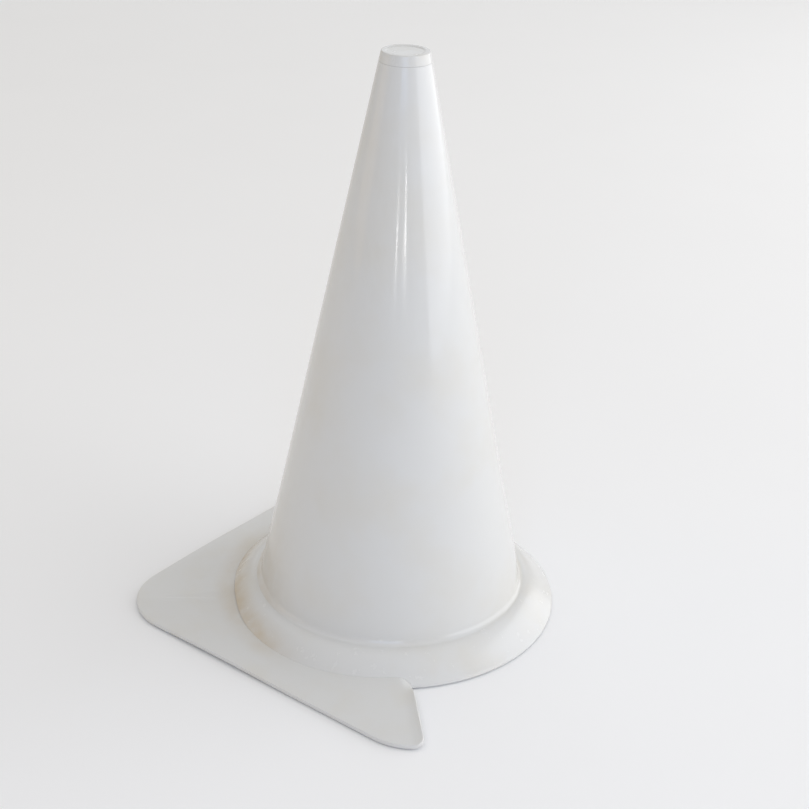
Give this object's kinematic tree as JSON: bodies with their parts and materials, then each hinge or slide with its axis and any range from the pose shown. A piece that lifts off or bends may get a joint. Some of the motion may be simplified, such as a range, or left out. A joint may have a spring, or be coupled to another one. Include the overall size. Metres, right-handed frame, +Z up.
{
  "type": "traffic cone",
  "caption": "Small plain white hollow plastic traffic cone with a lift-off flat tip cap, a low round brim and a thin eared foot plate that reaches out to one side.",
  "frame": {"origin": "on the cone's axis, at ground level, in the plane of the rubber base ring's underside", "axes": "+Z up along the cone's axis; -X towards the plate's left ear, along its diagonal crease; -Y towards its front ear, so the XZ plane is the mirror plane"},
  "size_m": [0.2297, 0.2776, 0.305],
  "materials": {
    "white_plastic": "glossy moulded white",
    "cap_plastic": "glossy moulded white",
    "brim_plastic": "glossy moulded white",
    "plate_plastic": "satin moulded white",
    "rubber": "matt black rubber",
    "screw_steel": "zinc plated"
  },
  "bodies": {
    "cone": {"cone_shell": "white_plastic", "brim_ring": "brim_plastic", "foot_plate": "plate_plastic", "rubber_base_ring": "rubber", "base_screws": "screw_steel", "grip_pad_left": "rubber", "grip_pad_front": "rubber", "grip_pad_back": "rubber"},
    "cap": {"tip_cap": "cap_plastic"}
  },
  "joints": [
    {"name": "tip_cap_lift", "type": "slide", "parent": "cone", "child": "cap", "axis": [0, 0, 1], "range_m": [0, 0.02]}
  ]
}
